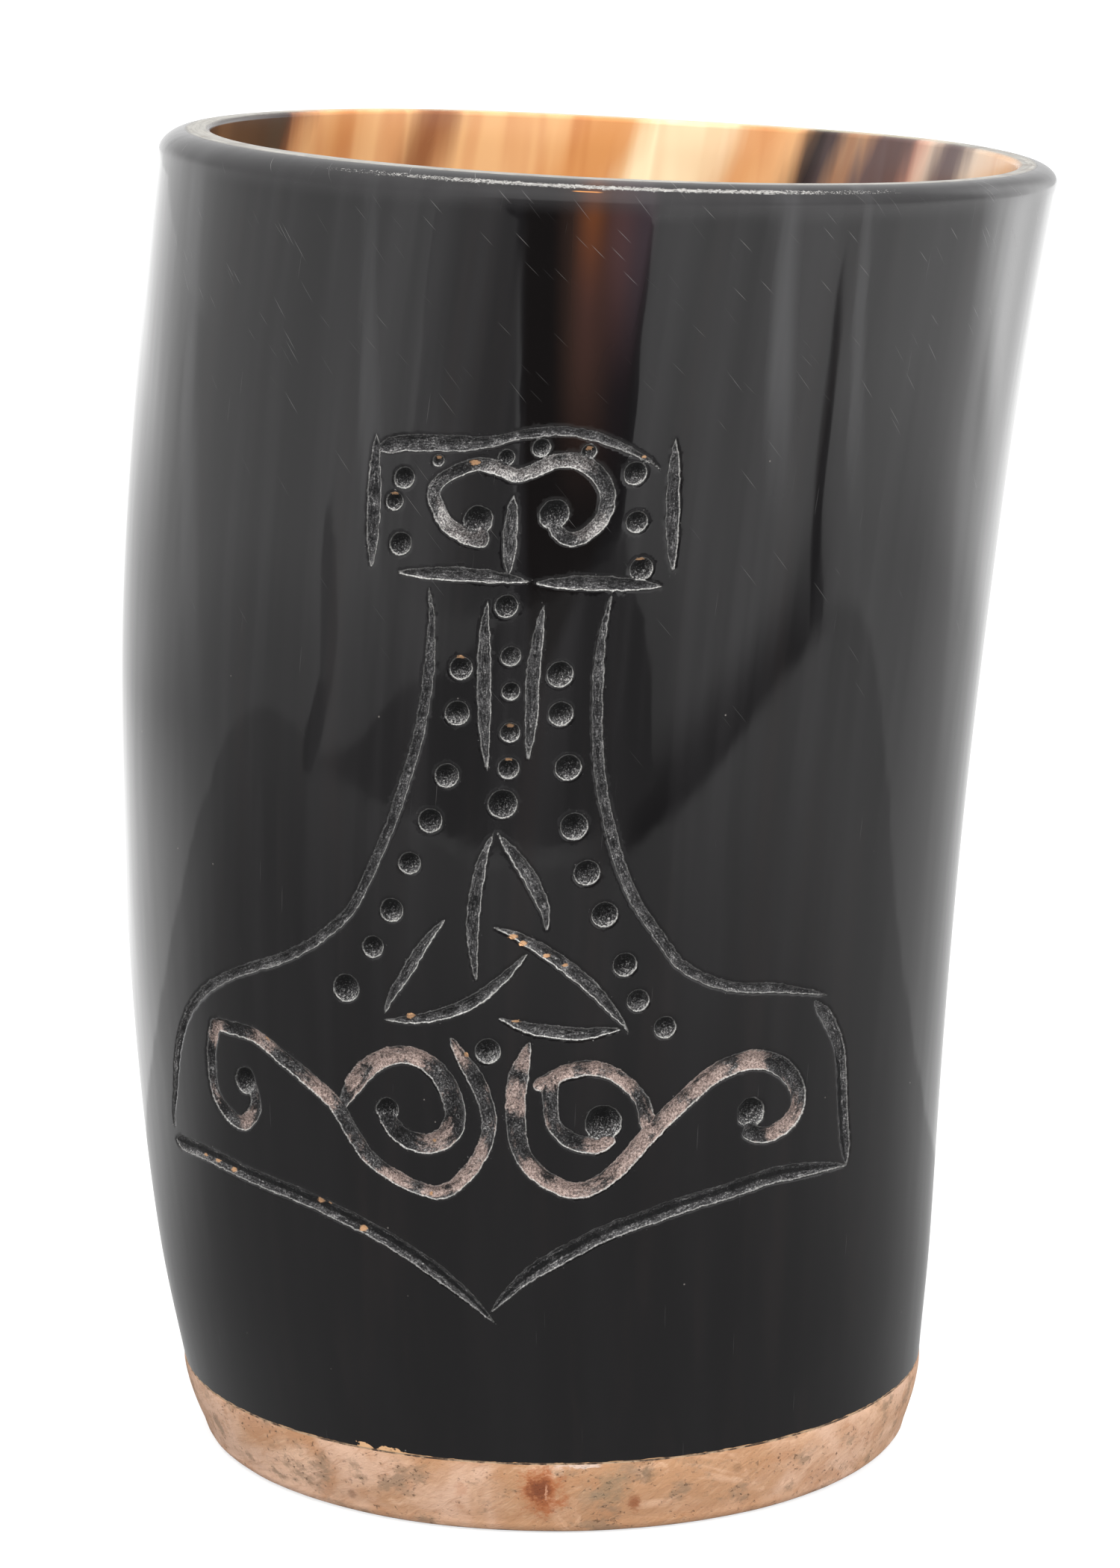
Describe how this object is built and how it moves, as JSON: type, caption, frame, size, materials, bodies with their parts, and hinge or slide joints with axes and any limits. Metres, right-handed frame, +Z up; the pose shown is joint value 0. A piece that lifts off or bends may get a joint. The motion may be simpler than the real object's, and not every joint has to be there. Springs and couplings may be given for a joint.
{
  "type": "horn drinking cup",
  "caption": "Leaning tumbler cut from a hollow horn, with a rounded lip, a carved front and a flush wooden disc glued into the foot as its floor.",
  "frame": {"origin": "centre of the wooden base's underside, on the table", "axes": "+Z up; the carved front faces -Y; the horn bends and leans towards +X"},
  "size_m": [0.0878, 0.0838, 0.1255],
  "materials": {
    "horn": "polished dark horn, streaked amber and cream on the inside and at the back",
    "base_wood": "sanded pale fruitwood with a thin oil, mottled and knotted",
    "glue": "cured pale adhesive",
    "seal": "clear cured resin"
  },
  "bodies": {
    "root": {"horn_body": "horn", "wooden_base": "base_wood", "glue_joint": "glue", "floor_seal": "seal"}
  },
  "joints": []
}
